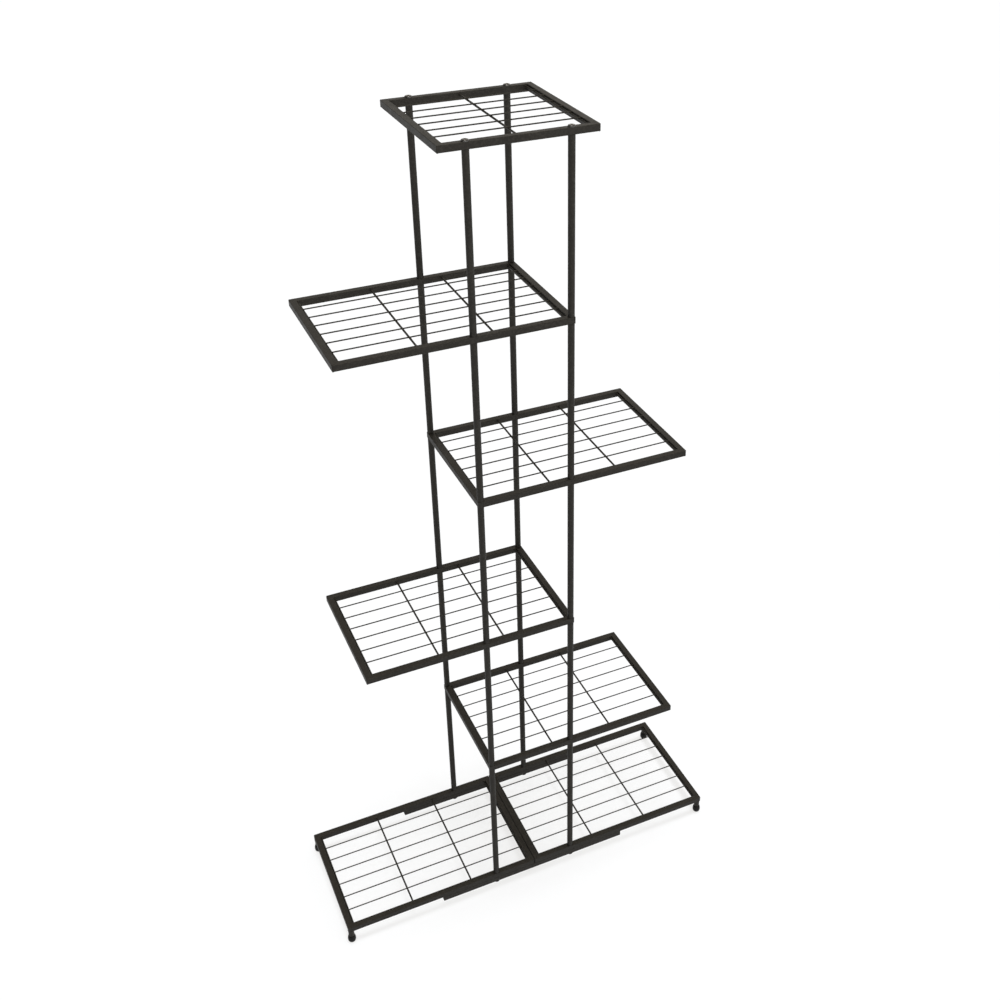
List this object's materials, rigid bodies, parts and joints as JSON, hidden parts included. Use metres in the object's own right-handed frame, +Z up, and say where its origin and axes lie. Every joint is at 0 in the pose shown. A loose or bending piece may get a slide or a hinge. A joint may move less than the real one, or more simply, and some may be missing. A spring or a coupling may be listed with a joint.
{
  "type": "metal plant stand",
  "caption": "Tall metal plant stand: wire decks in square-tube frames that reach out to alternate sides of stacked round posts, on a wide base with screw-in feet.",
  "frame": {"origin": "on the floor, midway between the four feet", "axes": "+Z up, X along the long side of the base, -Y to the front"},
  "size_m": [0.7002, 0.2296, 1.3754],
  "materials": {
    "powder_coat": "matt charcoal powder coat",
    "wire_coat": "matt charcoal powder coat on wire",
    "screw_black": "satin black screws",
    "foot_black": "moulded black plastic"
  },
  "bodies": {
    "stand": {"frame_base_left": "powder_coat", "frame_base_right": "powder_coat", "frame_tier1_right": "powder_coat", "frame_tier2_left": "powder_coat", "frame_tier3_right": "powder_coat", "frame_tier4_left": "powder_coat", "frame_top": "powder_coat", "grid_base_left": "wire_coat", "grid_base_right": "wire_coat", "grid_tier1_right": "wire_coat", "grid_tier2_left": "wire_coat", "grid_tier3_right": "wire_coat", "grid_tier4_left": "wire_coat", "grid_top": "wire_coat", "post_t1_fl": "powder_coat", "post_t1_fr": "powder_coat", "post_t1_bl": "powder_coat", "post_t1_br": "powder_coat", "post_t2_fl": "powder_coat", "post_t2_fr": "powder_coat", "post_t2_bl": "powder_coat", "post_t2_br": "powder_coat", "post_t3_fl": "powder_coat", "post_t3_fr": "powder_coat", "post_t3_bl": "powder_coat", "post_t3_br": "powder_coat", "post_t4_fl": "powder_coat", "post_t4_fr": "powder_coat", "post_t4_bl": "powder_coat", "post_t4_br": "powder_coat", "post_t5_fl": "powder_coat", "post_t5_fr": "powder_coat", "post_t5_bl": "powder_coat", "post_t5_br": "powder_coat", "cap_screw_fl": "screw_black", "cap_screw_fr": "screw_black", "cap_screw_bl": "screw_black", "cap_screw_br": "screw_black", "base_screw_fl": "screw_black", "base_screw_fr": "screw_black", "base_screw_bl": "screw_black", "base_screw_br": "screw_black", "splice_front": "powder_coat", "splice_back": "powder_coat"},
    "foot_fl": {"foot_fl": "foot_black"},
    "foot_fr": {"foot_fr": "foot_black"},
    "foot_bl": {"foot_bl": "foot_black"},
    "foot_br": {"foot_br": "foot_black"}
  },
  "joints": [
    {"name": "foot_fl_screw", "type": "slide", "parent": "stand", "child": "foot_fl", "axis": [0, 0, -1], "range_m": [0, 0.008]},
    {"name": "foot_fr_screw", "type": "slide", "parent": "stand", "child": "foot_fr", "axis": [0, 0, -1], "range_m": [0, 0.008]},
    {"name": "foot_bl_screw", "type": "slide", "parent": "stand", "child": "foot_bl", "axis": [0, 0, -1], "range_m": [0, 0.008]},
    {"name": "foot_br_screw", "type": "slide", "parent": "stand", "child": "foot_br", "axis": [0, 0, -1], "range_m": [0, 0.008]}
  ]
}
